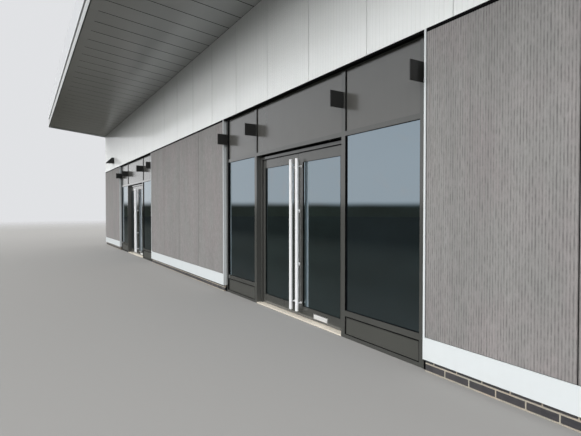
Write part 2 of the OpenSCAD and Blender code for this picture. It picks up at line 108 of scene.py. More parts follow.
class Value:
    """The output of a node. Arithmetic and comparison on it add Math nodes."""

    def __init__(self, finish, socket):
        self.finish, self.socket = finish, socket

    def _with(self, operation, *values):
        return self.finish.node("ShaderNodeMath", {"operation": operation}, dict(enumerate(values)))

    def __add__(self, other):
        return self._with("ADD", self, other)

    __radd__ = __add__

    def __sub__(self, other):
        return self._with("SUBTRACT", self, other)

    def __rsub__(self, other):
        return self._with("SUBTRACT", other, self)

    def __mul__(self, other):
        return self._with("MULTIPLY", self, other)

    __rmul__ = __mul__

    def __truediv__(self, other):
        return self._with("DIVIDE", self, other)

    def __rtruediv__(self, other):
        return self._with("DIVIDE", other, self)

    def __mod__(self, other):
        return self._with("FLOORED_MODULO", self, other)

    def __pow__(self, other):
        return self._with("POWER", self, other)

    def __lt__(self, other):
        return self._with("LESS_THAN", self, other)

    def __gt__(self, other):
        return self._with("GREATER_THAN", self, other)

    def floor(self):
        return self._with("FLOOR", self)

    def size(self):
        return self._with("ABSOLUTE", self)

    def larger(self, other):
        return self._with("MAXIMUM", self, other)

    def ramp(self, low, high):
        """0 at low and below, 1 at high and above."""
        settings = {"clamp": True, "interpolation_type": "SMOOTHSTEP"}
        return self.finish.node("ShaderNodeMapRange", settings, {0: self, 1: low, 2: high})


class Finish:
    """One material and the nodes that make its colour, gloss and grain."""

    def __init__(self, name, tree=None):
        if tree is None:
            self.material = bpy.data.materials.new(name)
            self.material.use_nodes = True
            tree = self.material.node_tree
            self.surface = tree.nodes["Principled BSDF"]
        self.tree = tree

    def node(self, kind, settings=None, inputs=None, output=0):
        """Adds a node of that type. The settings go on the node, and the inputs into its sockets."""
        made = self.tree.nodes.new(kind)
        for key, value in (settings or {}).items():
            setattr(made, key, value)
        for key, value in (inputs or {}).items():
            self.feed(made.inputs[key], value)
        return Value(self, made.outputs[output])

    def feed(self, socket, value):
        """Links a value to a socket, or sets the socket to a number or colour."""
        if isinstance(value, Value):
            self.tree.links.new(value.socket, socket)
        elif hasattr(value, "__len__") and len(value) == 3 and socket.type == "RGBA":
            socket.default_value = (*value, 1)
        else:
            socket.default_value = value

    def set(self, **values):
        """Feeds sockets of the surface, whose names have _ in place of spaces."""
        for key, value in values.items():
            self.feed(self.surface.inputs[key.replace("_", " ")], value)
        return self

    def place(self):
        """Object coordinates, as one vector."""
        return self.node("ShaderNodeTexCoord", output=3)

    def split(self, vector):
        """The three parts of a vector."""
        made = self.node("ShaderNodeSeparateXYZ", None, {0: vector})
        return [Value(self, made.socket.node.outputs[n]) for n in range(3)]

    def axes(self):
        """Object coordinates, as three values."""
        return self.split(self.place())

    def noise(self, scale, detail=3.0, stretch=(1, 1, 1), roughness=0.5):
        spot = self.node("ShaderNodeMapping", None, {"Vector": self.place(), "Scale": stretch})
        return self.grain(spot, scale, detail, roughness)

    def grain(self, spot, scale=1.0, detail=4.0, roughness=0.62):
        inputs = {"Vector": spot, "Scale": scale, "Detail": detail, "Roughness": roughness}
        return self.node("ShaderNodeTexNoise", None, inputs)

    def chance(self, number):
        """A different value from 0 to 1 for each whole number."""
        return self.node("ShaderNodeTexWhiteNoise", {"noise_dimensions": "1D"}, {"W": number})

    def mix(self, factor, first, second):
        return self.node("ShaderNodeMix", {"data_type": "RGBA"}, {0: factor, 6: first, 7: second}, 2)

    def bump(self, height, depth):
        return self.node("ShaderNodeBump", None, {"Height": height, "Distance": depth, "Strength": 1.0})

    def rays(self):
        """Whether a ray comes from the camera, from a glossy surface, or through a clear one."""
        kinds = ("Is Camera Ray", "Is Glossy Ray", "Is Transmission Ray")
        return [self.node("ShaderNodeLightPath", output=kind) for kind in kinds]


def tone(colour, share):
    """A darker or lighter tone of a colour."""
    return tuple(c * share for c in colour)


def coated(name, colour, gloss, spread=0.06, scale=2.2, dirt=0.0, bend=1.5, lacquer=0.0, haze=0.10):
    """Paint on metal, with faint clouds in its colour and gloss.

    gloss is the roughness of the paint, bend its index of refraction, and spread how far its tone
    wanders. dirt is how much dust lies low down, lacquer the weight of a clear coat on the paint,
    and haze the roughness of that coat.
    """
    made = Finish(name)
    clouds = made.noise(scale, 4.0)
    streaks = made.noise(14.0, 3.0, (1, 1, 0.12))
    patches = (clouds * 0.6 + streaks * 0.4).ramp(0.3, 0.7)
    shade = made.mix(patches, tone(colour, 1 - spread), tone(colour, 1 + spread))
    if dirt:
        height = made.axes()[2]
        dust = (1 - height.ramp(0.0, 0.3)) * made.noise(9.0, 5.0).ramp(0.35, 0.75) * dirt
        shade = made.mix(dust, shade, DUST)
    made.set(Base_Color=shade, Roughness=made.noise(30.0, 2.0) * 0.06 + (gloss - 0.03), IOR=bend)
    return made.set(Coat_Weight=lacquer, Coat_IOR=1.5, Coat_Roughness=haze)


def reeded_finish():
    """Grey board with regular reeds, and painted shade in dashes along the grooves. The attribute reed
    counts them, so that grooves differ.
    """
    made = Finish("reeded_board")
    reed = made.node("ShaderNodeAttribute", {"attribute_name": "reed"}, output=2)
    x, y, z = made.axes()
    dash_length = 0.11
    fleck_length = 0.055
    flecks_per_metre = 86.6
    groove = (reed + 0.5).floor()
    depth = 1 - (reed - groove).size().ramp(0.06, 0.34)
    spot = {0: groove * 5.37, 1: z / dash_length}
    groove_shade_dashes = made.grain(made.node("ShaderNodeCombineXYZ", None, spot))
    spot = {0: (x + y) * flecks_per_metre, 1: z / fleck_length, 2: groove * 0.7}
    flecks = made.grain(made.node("ShaderNodeCombineXYZ", None, spot))
    clouds = made.noise(5.0, 4.0, (1, 1, 0.45), 0.6)
    streaks = made.noise(6.0, 3.0, (1, 1, 0.08), 0.7)
    tint = made.noise(2.6, 3.0, (1, 1, 0.5))
    colour = made.mix(tint.ramp(0.35, 0.65), (0.288, 0.262, 0.259), (0.266, 0.264, 0.254))
    colour = made.mix(clouds.ramp(0.25, 0.75) * 0.35, colour, (0.345, 0.332, 0.325))
    colour = made.mix(streaks.ramp(0.35, 0.68) * 0.38, colour, (0.196, 0.190, 0.186))
    colour = made.mix((1 - flecks.ramp(0.30, 0.62)) * 0.55, colour, (0.180, 0.175, 0.171))
    board = made.chance((reed / REEDS_APART + 0.01).floor())
    colour = made.mix(board * 0.10, colour, (0.27, 0.26, 0.256))
    # Painted shade: the grooves are darkened in dashes, standing in for the shade in them
    colour = made.mix((groove_shade_dashes.ramp(0.34, 0.68) * 0.54 + 0.05) * depth, colour, (0.070, 0.068, 0.067))
    made.set(Base_Color=colour, Roughness=flecks * 0.2 + 0.62)
    return made.set(Normal=made.bump(made.noise(1.0, 3.0, (260, 260, 60)), 0.0006))


def brick_finish():
    """Blue-grey bricks, each a little different, with a burnt bloom on the faces."""
    made = Finish("blue_brick")
    x, y, z = made.axes()
    course = 0.068
    which = ((x + y * 1.7) / (BRICK_L + JOINT)).floor() + (z / course).floor() * 7.3
    tint = made.chance(which)
    colour = made.mix(tint, (0.034, 0.034, 0.038), (0.064, 0.061, 0.065))
    bloom = made.noise(26.0, 5.0, (1, 1, 1.6)).ramp(0.42, 0.75)
    colour = made.mix(bloom * 0.4, colour, (0.095, 0.086, 0.086))
    made.set(Base_Color=colour, Roughness=bloom * 0.2 + 0.5)
    return made.set(Normal=made.bump(made.noise(240.0, 5.0), 0.0012))


def mortar_finish():
    """Cream mortar, a little orange where it is damp."""
    made = Finish("pale_mortar")
    sand = made.noise(420.0, 4.0)
    damp = made.noise(7.0, 3.0)
    colour = made.mix(damp.ramp(0.35, 0.65), (0.40, 0.38, 0.32), (0.47, 0.40, 0.32))
    made.set(Base_Color=made.mix(sand * 0.25, colour, (0.26, 0.25, 0.21)), Roughness=0.9)
    return made.set(Normal=made.bump(sand, 0.0015))


def pane_finish(name, clear, tint):
    """Coated glass with a dark tint and slight waves. clear is the share of the hall that shows."""
    made = Finish(name)
    haze = made.noise(1.4, 3.0, (1, 1, 2.5)).ramp(0.3, 0.75)
    deep = made.mix(haze, tone(tint, 0.5), tint)
    made.set(Base_Color=deep, Roughness=haze * 0.03 + 0.012, IOR=3.6, Alpha=1 - clear)
    made.set(Specular_Tint=(0.50, 0.80, 1.0), Coat_Weight=1.0, Coat_IOR=3.0, Coat_Roughness=0.01)
    return made.set(Normal=made.bump(made.noise(1.1, 1.0), 0.002))


def tiles_finish():
    """Large pale tiles with narrow joints."""
    made = Finish("floor_tiles")
    x, y, _ = made.axes()
    side = 0.6
    joint = 0.006
    lines = ((x % side) < joint) + ((y % side) < joint)
    clouds = made.noise(2.5, 5.0)
    colour = made.mix(clouds.ramp(0.3, 0.7), (0.36, 0.35, 0.335), (0.46, 0.45, 0.43))
    lines = lines.ramp(0.0, 1.0)
    made.set(Base_Color=made.mix(lines, colour, (0.16, 0.155, 0.15)), Roughness=lines * 0.4 + 0.35)
    return made.set(Normal=made.bump(1 - lines, 0.001))


def lined_wall_finish():
    """Painted lining boards with taped joints."""
    made = Finish("wall_lining")
    x, y, _ = made.axes()
    pitch = 1.2
    joint = 0.008
    joints = ((x % pitch) < joint).larger((y % pitch) < joint)
    clouds = made.noise(1.7, 4.0)
    colour = made.mix(clouds.ramp(0.3, 0.7), (0.58, 0.58, 0.56), (0.66, 0.66, 0.64))
    made.set(Base_Color=made.mix(joints * 0.35, colour, (0.4, 0.4, 0.39)), Roughness=0.85)
    return made.set(Normal=made.bump(made.noise(160.0, 3.0), 0.0006))


def soffit_finish():
    """Satin boards, each of a slightly different tone and browner towards the open edge. Their tone
    also carries painted shade and light: darker towards the -X end, shading along the depth that
    differs between the two ends, and a painted reflection of the white band that lightens them next to
    the wall.
    """
    made = Finish("soffit_board")
    x, y, _ = made.axes()
    clouds = made.noise(1.2, 4.0, (1, 0.35, 1))
    # Painted shade and light: the darkening towards the -X end and the tone along the depth follow the
    # shading, besides the browner weathering at the open edge
    outward = 1 - (y - FACE).ramp(-2.0, -0.3)
    near = made.mix(outward, (0.52, 0.54, 0.535), (0.59, 0.59, 0.565))
    far = made.mix(outward, (0.345, 0.34, 0.32), (0.265, 0.257, 0.222))
    colour = made.mix(x.ramp(-7.0, 2.0), far, near)
    tint = made.chance((x / BOARD_PITCH).floor())
    colour = made.mix((clouds * 0.5 + tint * 0.5) * 0.25, colour, (0.33, 0.33, 0.32))
    # Painted reflection of the white band, which lightens the boards next to the wall
    colour = made.mix((y - FACE).ramp(-0.5, 0.0) * 0.2, colour, (0.92, 0.93, 0.92))
    return made.set(Base_Color=colour, Roughness=clouds * 0.08 + 0.15)


def brushed(name, colour, gloss, stretch, metal):
    """Metal with fine lines along the axis on which stretch is small."""
    made = Finish(name)
    lines = made.noise(1.0, 4.0, stretch, 0.6)
    shade = made.mix(lines.ramp(0.3, 0.7), tone(colour, 0.95), tone(colour, 1.03))
    made.set(Base_Color=shade, Metallic=metal, Roughness=lines * 0.14 + (gloss - 0.07))
    return made.set(Normal=made.bump(lines, 0.0002))


REEDED = reeded_finish()
BRICK = brick_finish()
MORTAR = mortar_finish()
WHITE = coated("white_coat", (0.655, 0.69, 0.70), 0.34, 0.012, dirt=0.10, bend=1.3)
BAND = coated("band_coat", (0.85, 0.87, 0.86), 0.11, 0.015, bend=1.58)
EDGE_TRIM = coated("edge_trim_coat", (0.44, 0.45, 0.44), 0.4, 0.02)
FASCIA = coated("fascia_coat", (0.60, 0.61, 0.62), 0.4, 0.02)
TRIM = coated("pale_grey_coat", (0.34, 0.35, 0.355), 0.4, 0.03)
SOFFIT = soffit_finish()
# Near-black rubber. On the head flashings this near-black also stands in for the deep shade under the
# band, as painted shade
RUBBER = coated("black_rubber", (0.004, 0.004, 0.0045), 0.7, 0.15, bend=1.12)
FRAME_COLOUR = (0.069, 0.070, 0.065)
FRAME = coated("frame_coat", FRAME_COLOUR, 0.15, 0.04, bend=1.45, lacquer=1.0)
LEAF = coated("leaf_coat", tone(FRAME_COLOUR, 0.95), 0.15, 0.04, bend=1.45, lacquer=1.0)
SPANDREL_COLOUR = (0.083, 0.082, 0.075)
SPANDREL = coated("spandrel_coat", SPANDREL_COLOUR, 0.20, 0.03, bend=1.6, lacquer=0.85, haze=0.20)
LOW_PANEL = coated("low_panel_coat", (0.065, 0.066, 0.059), 0.45, 0.04)
FITTING = coated("black_coat", (0.020, 0.020, 0.019), 0.42, 0.08)
# Painted shade: the recessed channel under the fascia is coloured near-black to stand in for its shadow
SHADED_CHANNEL = coated("channel_shade_coat", (0.060, 0.061, 0.063), 0.5, 0.06)
STEEL = coated("primed_steel", (0.20, 0.20, 0.20), 0.55, 0.08)
ROOF = coated("roof_coat", (0.30, 0.315, 0.325), 0.45, 0.06, scale=0.6)
LINING = lined_wall_finish()
TILES = tiles_finish()
WINDOW = pane_finish("window_pane", 0.06, (0.010, 0.016, 0.018))
DOOR_PANE = pane_finish("door_pane", 0.10, (0.010, 0.018, 0.017))
THRESHOLD = brushed("threshold_metal", (0.90, 0.83, 0.71), 0.42, (6, 160, 160), 0.3)
TUBE = brushed("handle_metal", (0.93, 0.94, 0.95), 0.34, (220, 220, 5), 0.1)
PLATE = brushed("letter_metal", (0.86, 0.86, 0.85), 0.36, (6, 200, 200), 0.4)
LENS = coated("lamp_lens", (0.70, 0.70, 0.66), 0.25, 0.03)

NODE_FINISHES = {
    "floor_slab": TILES, "front_wall_piers": LINING, "front_wall_head": LINING, "end_walls": LINING,
    # head_flashings: a black flashing, made near-black as painted shade under the band
    "rear_wall": LINING, "base_strip": WHITE, "jamb_trims": WHITE, "head_flashings": RUBBER,
    "canopy_edge_trim": EDGE_TRIM, "canopy_channel": SHADED_CHANNEL, "canopy_fascia": FASCIA,
    "canopy_cheeks": BAND, "canopy_outriggers": STEEL, "roof_deck": ROOF, "verge_trims": TRIM,
    "rear_gutter": WHITE, "downpipes": WHITE, "wall_lights": FITTING, "shopfront_posts": FRAME,
    "shopfront_rails": FRAME, "spandrel_panels": SPANDREL, "low_panels": LOW_PANEL,
    "window_glass": WINDOW, "bracket_plates": FITTING, "door_frames": FRAME, "thresholds": THRESHOLD,
}


def dress(node, finish):
    """Puts a finish on a node of the part."""
    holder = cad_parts[node]
    if not holder.material_slots:
        holder.data.materials.append(finish.material)
    for slot in holder.material_slots:
        slot.material = finish.material


for node_name, node_finish in NODE_FINISHES.items():
    dress(node_name, node_finish)
for shop_name in ("left", "right"):
    for leaf_name in ("left", "right"):
        dress(f"{shop_name}_shop_{leaf_name}_leaf", LEAF)
        dress(f"{shop_name}_shop_{leaf_name}_glass", DOOR_PANE)
        dress(f"{shop_name}_shop_{leaf_name}_handle", TUBE)
    dress(f"{shop_name}_shop_letter_plate", PLATE)

# Shapes


def block(shape, low, high):
    """Adds a box. Its corners are (x, depth behind the cladding face, z)."""
    low, high = Vector(low), Vector(high)
    middle = (low + high) / 2 + Vector((0, FACE, 0))
    size = high - low
    place = Matrix.Translation(middle) @ Matrix.Diagonal((*size, 1))
    return bmesh.ops.create_cube(shape, size=1, matrix=place)["verts"]


def ease(shape, width):
    """Takes the sharpness off all edges."""
    bmesh.ops.bevel(
        shape, geom=list(shape.edges), offset=width, offset_type="OFFSET", affect="EDGES",
        segments=1, profile=0.5, material=-1, clamp_overlap=True,
    )


def piece(name, shape, finish, body="building", stands_for=()):
    """Makes the shape an object that rides on a body."""
    bmesh.ops.recalc_face_normals(shape, faces=shape.faces)
    mesh = bpy.data.meshes.new(name)
    shape.to_mesh(mesh)
    shape.free()
    mesh.materials.append(finish.material)
    made = bpy.data.objects.new(name, mesh)
    bpy.context.scene.collection.objects.link(made)
    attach(made, body)
    if stands_for:
        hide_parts(*stands_for)


# Shortest edge along a run, and how near to a face a point lies on it
RUN_LEAST, NEAR = 0.001, 0.0001


def ribbed_slab(shape, low, high, along, face, stations, top=None, first_reed=0):
    """Adds a box whose outer face follows the stations.

    A station is its place on the run, how deep the face lies there, and the count of reeds before it.
    along is 0 for a run along X and 1 for one along Y, and face is the way that the ribs look on the
    other axis. top gives the height of the upper edge at a depth.
    """
    across = 1 - along
    reed = shape.verts.layers.float.get("reed") or shape.verts.layers.float.new("reed")
    known = len(shape.verts)
    corners = block(shape, low, high)
    start, stop = (min(v.co[along] for v in corners), max(v.co[along] for v in corners))
    outer = (max if face > 0 else min)(v.co[across] for v in corners)
    middle_z = (low[2] + high[2]) / 2
    edges = {e for v in corners for e in v.link_edges}
    runs = [e for e in edges if abs(e.verts[0].co[along] - e.verts[1].co[along]) > RUN_LEAST]
    count = len(stations) - 1
    bmesh.ops.subdivide_edges(shape, edges=runs, cuts=count - 1, use_grid_fill=True)
    for v in shape.verts[:][known:]:
        where, relief, reeds_before = stations[round((v.co[along] - start) / (stop - start) * count)]
        v.co[along] = where
        v[reed] = first_reed + reeds_before
        if top and v.co.z > middle_z:
            v.co.z = top(v.co.y - FACE)
        if abs(v.co[across] - outer) < NEAR:
            v.co[across] = outer - face * relief


REED_PITCH = 0.02195
REED_DEPTH = 0.0032
# Across one reed: share of the pitch, and share of the groove's depth
REED_SECTION = ((0.0, 1.0), (0.18, 0.42), (0.40, 0.0), (0.60, 0.0), (0.82, 0.42))
# Reed count at a panel's flat edges, which is away from any groove
FLAT_EDGE = 0.45
EDGE_MARGIN = 0.001
GROOVE_LEAST, LAST_GROOVE = 0.75, 0.8


def reeds(start, stop, draw):
    """Stations of rounded reeds with a groove between each two."""
    count = int((stop - start - EDGE_MARGIN) / REED_PITCH)
    margin = (stop - start - count * REED_PITCH) / 2
    stations = [(start, 0.0, -FLAT_EDGE)]
    for n in range(count):
        here = start + margin + n * REED_PITCH
        deep = REED_DEPTH * draw.uniform(GROOVE_LEAST, 1.0)
        for share, relief in REED_SECTION:
            stations.append((here + share * REED_PITCH, relief * deep, n + share))
    last = (stop - margin, REED_DEPTH * LAST_GROOVE, count)
    return stations + [last, (stop, 0.0, count + FLAT_EDGE)]


def micro_ribs(start, stop):
    """Stations of a flat sheet with narrow grooves."""
    pitch, groove, depth, margin = 0.05, 0.012, 0.003, 0.02
    stations = [(start, 0.0, 0)]
    here = start + margin
    while here + pitch < stop - margin:
        stations += [(here, 0.0, 0), (here + groove / 2, depth, 0), (here + groove, 0.0, 0)]
        here += pitch
    return stations + [(stop, 0.0, 0)]


def panel_runs(start, count, width):
    """Where each panel of a row starts and stops."""
    pitch = width + PANEL_GAP
    return [(start + n * pitch, start + n * pitch + width) for n in range(count)]


def mirrored(runs):
    """The same row on the other side of the building's middle."""
    return [(-stop, -start) for start, stop in reversed(runs)]


draw = random.Random(11)
CORNER_X = HALF - CLAD
CORNER_START = CORNER_X - 2 * (PANEL_W + PANEL_GAP) - CORNER_PANEL_W
corner_runs = panel_runs(CORNER_START, 2, PANEL_W) + [(CORNER_X - CORNER_PANEL_W, CORNER_X)]
front_runs = mirrored(corner_runs) + panel_runs(-MIDDLE_HALF, 4, PANEL_W) + corner_runs
END_COUNT = 10
end_runs = panel_runs(CLAD, END_COUNT, PANEL_W)
end_runs[0] = (0.0, end_runs[0][1])
end_runs[-1] = (end_runs[-1][0], REAR)
REAR_COUNT = 15
rear_width = (2 * CORNER_X - (REAR_COUNT - 1) * PANEL_GAP) / REAR_COUNT
rear_runs = panel_runs(-CORNER_X, REAR_COUNT, rear_width)
# Boards count from 0 on the front, from END_BOARD less or more END_STEP on the ends, and from
# REAR_BOARD on the rear
END_BOARD, END_STEP, REAR_BOARD = 30, 10, 60

front = bmesh.new()
for n, (x0, x1) in enumerate(front_runs):
    stations = reeds(x0, x1, draw)
    low, high = (x0, 0, PANEL_LOW), (x1, CLAD, PANEL_TOP)
    ribbed_slab(front, low, high, 0, -1, stations, first_reed=n * REEDS_APART)
piece("front_reeded_panels", front, REEDED, stands_for=["front_panels"])

ends = bmesh.new()
for side in (-1, 1):
    inner, outer = sorted((side * CORNER_X, side * HALF))
    for n, (y0, y1) in enumerate(end_runs, END_BOARD + side * END_STEP):
        stations = reeds(y0 + FACE, y1 + FACE, draw)
        low, high = (inner, y0, PANEL_LOW), (outer, y1, PANEL_TOP)
        ribbed_slab(ends, low, high, 1, side, stations, first_reed=n * REEDS_APART)
piece("end_reeded_panels", ends, REEDED, stands_for=["end_panels"])

rear = bmesh.new()
for n, (x0, x1) in enumerate(rear_runs, REAR_BOARD):
    stations = reeds(x0, x1, draw)
    low, high = (x0, REAR - CLAD, PANEL_LOW), (x1, REAR, PANEL_TOP)
    ribbed_slab(rear, low, high, 0, 1, stations, first_reed=n * REEDS_APART)
piece("rear_reeded_panels", rear, REEDED, stands_for=["rear_panels"])

# Black strips behind the open joints of the panels and below the panels, and a black strip over the top
# of each front panel that is painted shade under the band
SEAL_DEEP = 0.008
SKIN = 0.001
JOINT_MOST = 0.05
HEAD_SHADE_DROP = 0.012
TRIM_IN = SHOP_X - SHOP_HALF - TRIM_W
TRIM_OUT = SHOP_X + SHOP_HALF + TRIM_W
seals = bmesh.new()
seal_rows = ((front_runs, SEAL_DEEP, CLAD), (rear_runs, REAR - CLAD, REAR - SEAL_DEEP))
for runs, depth0, depth1 in seal_rows:
    for (_, a1), (b0, _) in zip(runs, runs[1:]):
        if b0 - a1 < JOINT_MOST:
            block(seals, (a1, depth0, PANEL_LOW), (b0, depth1, PANEL_TOP))
for side in (-1, 1):
    x0, x1 = sorted((side * CORNER_X, side * (HALF - SEAL_DEEP)))
    for (_, a1), (b0, _) in zip(end_runs, end_runs[1:]):
        block(seals, (x0, a1, PANEL_LOW), (x1, b0, PANEL_TOP))
    block(seals, (x0, SEAL_DEEP, STRIP_TOP), (x1, REAR - SEAL_DEEP, PANEL_LOW))
    for near, far in ((MIDDLE_HALF, TRIM_IN), (TRIM_OUT, CORNER_START)):
        x0, x1 = sorted((side * near, side * far))
        block(seals, (x0, SEAL_DEEP, PANEL_LOW), (x1, CLAD, PANEL_TOP))
for x0, x1 in ((-CORNER_X, -TRIM_OUT), (-TRIM_IN, TRIM_IN), (TRIM_OUT, CORNER_X)):
    block(seals, (x0, SEAL_DEEP, STRIP_TOP), (x1, CLAD, PANEL_LOW))
block(seals, (-CORNER_X, REAR - CLAD, STRIP_TOP), (CORNER_X, REAR - SEAL_DEEP, PANEL_LOW))
# Painted shade: a black strip over the top of each front panel, standing in for the shade under the
# band
for x0, x1 in front_runs:
    block(seals, (x0, -SKIN, PANEL_TOP - HEAD_SHADE_DROP), (x1, SEAL_DEEP, BAND_LOW - SKIN))
piece("panel_seals_and_head_shade", seals, RUBBER)

# White upper band in sheets about one metre wide
SHEET_W = 1.02
SHEET_GAP = 0.008
SHEET_LEAST = 0.2
REAR_BAND_H = 0.6


def sheet_runs(start, stop, shift=0.0):
    """Where each sheet starts and stops. shift is where a joint falls after the start."""
    places = [start]
    here = start + shift
    while here < stop - SHEET_LEAST:
        if here > start + SHEET_LEAST:
            places.append(here)
        here += SHEET_W
    places.append(stop)
    return [(a + SHEET_GAP / 2, b - SHEET_GAP / 2) for a, b in zip(places, places[1:])]


def under_soffit(y):
    """Height of the top of the front band at a depth."""
    return soffit_under(y) - BED


def under_deck(y):
    """Height of the top of the rear band at a depth."""
    return deck_top(y) - DECK_T - BED


# One joint of the front is at JOINT_SEEN, and the first is 16 sheets to the left of it
JOINT_SEEN = 6.025
JOINT_AT = JOINT_SEEN - 16 * SHEET_W
front_band = bmesh.new()
band_runs = sheet_runs(-HALF, HALF, JOINT_AT + HALF)
band_runs[0] = (-HALF, band_runs[0][1])
band_runs[-1] = (band_runs[-1][0], HALF)
for x0, x1 in band_runs:
    low, high = (x0, 0, BAND_LOW), (x1, CLAD, SOFFIT_Z)
    ribbed_slab(front_band, low, high, 0, -1, micro_ribs(x0, x1), under_soffit)
piece("front_band_sheets", front_band, BAND, stands_for=["front_band"])

end_band = bmesh.new()
for side in (-1, 1):
    inner, outer = sorted((side * CORNER_X, side * HALF))
    for y0, y1 in sheet_runs(CLAD, REAR - CLAD):
        low, high = (inner, y0, BAND_LOW), (outer, y1, SOFFIT_Z)
        ribbed_slab(end_band, low, high, 1, side, micro_ribs(y0 + FACE, y1 + FACE), deck_top)
piece("end_band_sheets", end_band, BAND, stands_for=["end_bands"])

rear_band = bmesh.new()
for x0, x1 in sheet_runs(-HALF, HALF):
    low, high = (x0, REAR - CLAD, BAND_LOW), (x1, REAR, BAND_LOW + REAR_BAND_H)
    ribbed_slab(rear_band, low, high, 0, 1, micro_ribs(x0, x1), under_deck)
piece("rear_band_sheets", rear_band, BAND, stands_for=["rear_band"])

# Soffit boards that run from front to back, with a border board along the open edges
BOARD_GAP = 0.018
BOARD_T = 0.03
GROOVE = 0.001
BORDER = 0.15
SOFFIT_T = 0.04
WALL_GAP = 0.003
EDGE_GAP = 0.014
BACKING_IN, BACKING_GAP = 0.004, 0.0005


def slope_down(shape):
    """Leans what was laid level over the canopy to the slope of the soffit."""
    for v in shape.verts:
        v.co.z += soffit_under(v.co.y - FACE)


boards = bmesh.new()
lip_y = EDGE_LIP - OVERHANG
inner_x = HALF - BORDER
board_count = int(inner_x / BOARD_PITCH)
board_joints = [n * BOARD_PITCH for n in range(-board_count, board_count + 1)]
board_x = [-inner_x, *board_joints, inner_x]
for x0, x1 in zip(board_x, board_x[1:]):
    low = (x0 + BOARD_GAP / 2, lip_y + BORDER, 0)
    block(boards, low, (x1 - BOARD_GAP / 2, -WALL_GAP, BOARD_T))
block(boards, (-HALF + EDGE_GAP, lip_y + EDGE_GAP, 0), (HALF - EDGE_GAP, lip_y + BORDER, BOARD_T))
for side in (-1, 1):
    x0, x1 = sorted((side * (inner_x + BOARD_GAP / 2), side * (HALF - EDGE_GAP)))
    block(boards, (x0, lip_y + BORDER, 0), (x1, -WALL_GAP, BOARD_T))
ease(boards, 0.001)
slope_down(boards)
piece("soffit_boards", boards, SOFFIT, stands_for=["canopy_soffit"])

backing = bmesh.new()
low = (-HALF + BACKING_IN, lip_y + BACKING_GAP, BOARD_T)
block(backing, low, (HALF - BACKING_IN, CLAD, SOFFIT_T))
for x in board_x:
    low = (x - BOARD_GAP / 2, lip_y + BORDER, GROOVE)
    block(backing, low, (x + BOARD_GAP / 2, -WALL_GAP, BOARD_T))
slope_down(backing)
piece("soffit_backing", backing, RUBBER)

# White angle that closes each end of the soffit
LIP_T = 0.012
LIP_DROP = 0.03
lips = bmesh.new()
for side in (-1, 1):
    x0, x1 = sorted((side * (HALF - LIP_T), side * HALF))
    block(lips, (x0, lip_y, -LIP_DROP), (x1, 0, BOARD_T))
slope_down(lips)
piece("canopy_end_angles", lips, WHITE)

# Brick plinth: courses of bricks in front of mortar
PLINTH_FACE = 0.025
PLINTH_H = 0.15
WALL_IN = 0.24
bricks = bmesh.new()
mortar = bmesh.new()
MORTAR_BACK = 0.003
BED_LEVELS = ((0.009, 0.062), (0.074, 0.139))
BRICK_LEAST = 0.03


def lay_bricks(start, stop, first, to_block):
    """Lays the courses of one face. to_block gives the box of a brick between two levels."""
    for course, (low, high) in enumerate(BED_LEVELS):
        here = first - (BRICK_L + JOINT) * (1.0 if course == 0 else 1.5)
        while here < stop:
            a, b = max(here, start), min(here + BRICK_L, stop)
            if b - a > BRICK_LEAST:
                block(bricks, *to_block(a, b, low, high))
            here += BRICK_L + JOINT


out_x = HALF - PLINTH_FACE
pier_edge = SHOP_X + OPENING_HALF
inner_edge = SHOP_X - OPENING_HALF
FIRST_PERPEND = 6.97
END_PERPEND = 0.2


def front_box(a, b, low, high):
    """The box of a brick on the front."""
    return (a, PLINTH_FACE, low), (b, PLINTH_FACE + BRICK_W, high)


def rear_box(a, b, low, high):
    """The box of a brick on the rear."""
    return (a, REAR - PLINTH_FACE - BRICK_W, low), (b, REAR - PLINTH_FACE, high)


def end_box(side):
    """What gives the box of a brick on the left or right end."""
    x0, x1 = sorted((side * (out_x - BRICK_W), side * out_x))
    return lambda a, b, low, high: ((x0, a, low), (x1, b, high))


lay_bricks(pier_edge, out_x, FIRST_PERPEND, front_box)
lay_bricks(-out_x, -pier_edge, -out_x, front_box)
lay_bricks(-inner_edge, inner_edge, -inner_edge, front_box)
lay_bricks(-out_x, out_x, -out_x, rear_box)
end_start = PLINTH_FACE + BRICK_W + JOINT
end_stop = REAR - PLINTH_FACE - BRICK_W - JOINT
for side in (-1, 1):
    lay_bricks(end_start, end_stop, END_PERPEND, end_box(side))
ease(bricks, 0.003)
piece("plinth_bricks", bricks, BRICK)

face = PLINTH_FACE + MORTAR_BACK
out_m = out_x - MORTAR_BACK
FILLET_H, FILLET_OUT = 0.009, 0.004
for x0, x1 in ((-out_m, -pier_edge), (-inner_edge, inner_edge), (pier_edge, out_m)):
    block(mortar, (x0, face, 0), (x1, WALL_IN, PLINTH_H))
    block(mortar, (x0, PLINTH_FACE - FILLET_OUT, 0), (x1, face, FILLET_H))
for side in (-1, 1):
    x0, x1 = sorted((side * (HALF - WALL_IN), side * out_m))
    block(mortar, (x0, WALL_IN, 0), (x1, REAR - WALL_IN, PLINTH_H))
block(mortar, (-out_m, REAR - WALL_IN, 0), (out_m, REAR - face, PLINTH_H))
piece("plinth_mortar", mortar, MORTAR, stands_for=["brick_plinth"])

# Black gaskets in the recesses of the shopfronts. The linings over the recess sides and the wide head
# gasket of the low panels are partly gasket and partly painted shade; the strips on each shop's left
# post, over the door head and under it are painted shade.
gaskets = bmesh.new()


def gasket_ring(shape, x0, x1, z0, z1, front_y, back_y, side, foot=0.0, head=0.0):
    """Strips round an opening: side is their width at both sides, foot and head their heights."""
    block(shape, (x0, front_y, z0), (x0 + side, back_y, z1))
    block(shape, (x1 - side, front_y, z0), (x1, back_y, z1))
    if foot:
        block(shape, (x0 + side, front_y, z0), (x1 - side, back_y, z0 + foot))
    if head:
        block(shape, (x0 + side, front_y, z1 - head), (x1 - side, back_y, z1))


